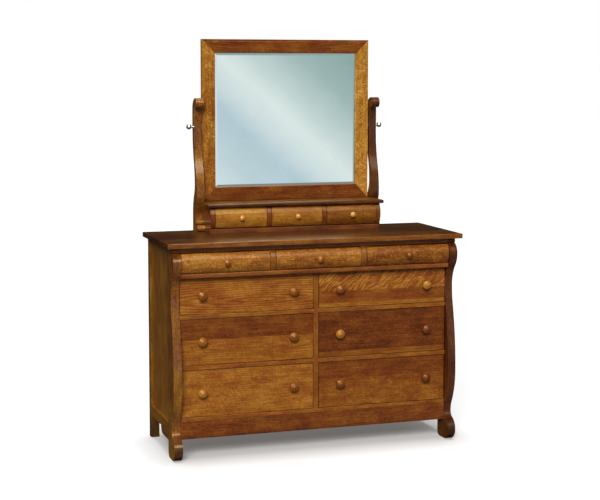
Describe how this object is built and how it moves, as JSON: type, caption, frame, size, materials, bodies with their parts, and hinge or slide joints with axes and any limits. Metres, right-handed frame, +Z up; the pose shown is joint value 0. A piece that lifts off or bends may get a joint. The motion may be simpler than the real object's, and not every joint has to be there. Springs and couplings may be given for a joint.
{
  "type": "dresser",
  "caption": "Oak dresser with S-scroll front legs, flat and cushion-fronted drawers, turned wooden knobs, and a bevelled mirror tilting between scroll posts above a small drawer deck.",
  "frame": {"origin": "bottom centre of the dresser's bounding box, on the floor", "axes": "+X to the right seen from the front, +Y to the back, +Z up"},
  "size_m": [1.575, 0.604, 2.108],
  "materials": {
    "oak": "reddish-brown stain under satin lacquer",
    "drawer_oak": "golden-brown stain under satin lacquer",
    "secondary_wood": "unstained, sanded and sealed",
    "mirror_plate": "silvered plate glass, bevelled and polished",
    "clamp_metal": "polished nickel plate"
  },
  "bodies": {
    "case": {"top_slab": "oak", "front_leg_left": "oak", "front_leg_right": "oak", "rear_posts": "oak", "side_panels": "oak", "side_rails": "oak", "front_rails": "oak", "front_apron": "oak", "front_dividers": "oak", "centre_partition": "secondary_wood", "drawer_runners": "secondary_wood", "dust_panel": "secondary_wood", "back_panel": "secondary_wood", "deck_base": "oak", "deck_uprights": "oak", "deck_back": "secondary_wood", "deck_shelf": "oak", "mirror_post_left": "oak", "mirror_post_right": "oak"},
    "low_drawer_left": {"low_drawer_left_front": "drawer_oak", "low_drawer_left_box": "secondary_wood", "low_drawer_left_knobs": "oak"},
    "low_drawer_right": {"low_drawer_right_front": "drawer_oak", "low_drawer_right_box": "secondary_wood", "low_drawer_right_knobs": "oak"},
    "middle_drawer_left": {"middle_drawer_left_front": "drawer_oak", "middle_drawer_left_box": "secondary_wood", "middle_drawer_left_knobs": "oak"},
    "middle_drawer_right": {"middle_drawer_right_front": "drawer_oak", "middle_drawer_right_box": "secondary_wood", "middle_drawer_right_knobs": "oak"},
    "high_drawer_left": {"high_drawer_left_front": "drawer_oak", "high_drawer_left_box": "secondary_wood", "high_drawer_left_knobs": "oak"},
    "high_drawer_right": {"high_drawer_right_front": "drawer_oak", "high_drawer_right_box": "secondary_wood", "high_drawer_right_knobs": "oak"},
    "cushion_drawer_left": {"cushion_drawer_left_front": "drawer_oak", "cushion_drawer_left_box": "secondary_wood", "cushion_drawer_left_knob": "oak"},
    "cushion_drawer_middle": {"cushion_drawer_middle_front": "drawer_oak", "cushion_drawer_middle_box": "secondary_wood", "cushion_drawer_middle_knob": "oak"},
    "cushion_drawer_right": {"cushion_drawer_right_front": "drawer_oak", "cushion_drawer_right_box": "secondary_wood", "cushion_drawer_right_knob": "oak"},
    "deck_drawer_left": {"deck_drawer_left_front": "drawer_oak", "deck_drawer_left_box": "secondary_wood", "deck_drawer_left_knob": "oak"},
    "deck_drawer_middle": {"deck_drawer_middle_front": "drawer_oak", "deck_drawer_middle_box": "secondary_wood", "deck_drawer_middle_knob": "oak"},
    "deck_drawer_right": {"deck_drawer_right_front": "drawer_oak", "deck_drawer_right_box": "secondary_wood", "deck_drawer_right_knob": "oak"},
    "mirror": {"mirror_frame": "oak", "mirror_glass": "mirror_plate", "mirror_backing": "secondary_wood"},
    "clamp_knob_left": {"clamp_knob_left": "clamp_metal"},
    "clamp_knob_right": {"clamp_knob_right": "clamp_metal"}
  },
  "joints": [
    {"name": "low_drawer_left_slide", "type": "slide", "parent": "case", "child": "low_drawer_left", "axis": [0, -1, 0], "range_m": [0, 0.34]},
    {"name": "low_drawer_right_slide", "type": "slide", "parent": "case", "child": "low_drawer_right", "axis": [0, -1, 0], "range_m": [0, 0.34]},
    {"name": "middle_drawer_left_slide", "type": "slide", "parent": "case", "child": "middle_drawer_left", "axis": [0, -1, 0], "range_m": [0, 0.34]},
    {"name": "middle_drawer_right_slide", "type": "slide", "parent": "case", "child": "middle_drawer_right", "axis": [0, -1, 0], "range_m": [0, 0.34]},
    {"name": "high_drawer_left_slide", "type": "slide", "parent": "case", "child": "high_drawer_left", "axis": [0, -1, 0], "range_m": [0, 0.34]},
    {"name": "high_drawer_right_slide", "type": "slide", "parent": "case", "child": "high_drawer_right", "axis": [0, -1, 0], "range_m": [0, 0.34]},
    {"name": "cushion_drawer_left_slide", "type": "slide", "parent": "case", "child": "cushion_drawer_left", "axis": [0, -1, 0], "range_m": [0, 0.34]},
    {"name": "cushion_drawer_middle_slide", "type": "slide", "parent": "case", "child": "cushion_drawer_middle", "axis": [0, -1, 0], "range_m": [0, 0.34]},
    {"name": "cushion_drawer_right_slide", "type": "slide", "parent": "case", "child": "cushion_drawer_right", "axis": [0, -1, 0], "range_m": [0, 0.34]},
    {"name": "deck_drawer_left_slide", "type": "slide", "parent": "case", "child": "deck_drawer_left", "axis": [0, -1, 0], "range_m": [0, 0.115]},
    {"name": "deck_drawer_middle_slide", "type": "slide", "parent": "case", "child": "deck_drawer_middle", "axis": [0, -1, 0], "range_m": [0, 0.115]},
    {"name": "deck_drawer_right_slide", "type": "slide", "parent": "case", "child": "deck_drawer_right", "axis": [0, -1, 0], "range_m": [0, 0.115]},
    {"name": "mirror_tilt", "type": "hinge", "parent": "case", "child": "mirror", "pos_m": [0, 0.282, 1.648], "axis": [1, 0, 0], "range_deg": [-20, 20]},
    {"name": "clamp_knob_left_turn", "type": "hinge", "parent": "mirror", "child": "clamp_knob_left", "pos_m": [-0.53, 0.282, 1.648], "axis": [1, 0, 0], "range_deg": [0, 360]},
    {"name": "clamp_knob_right_turn", "type": "hinge", "parent": "mirror", "child": "clamp_knob_right", "pos_m": [0.53, 0.282, 1.648], "axis": [1, 0, 0], "range_deg": [0, 360]}
  ]
}
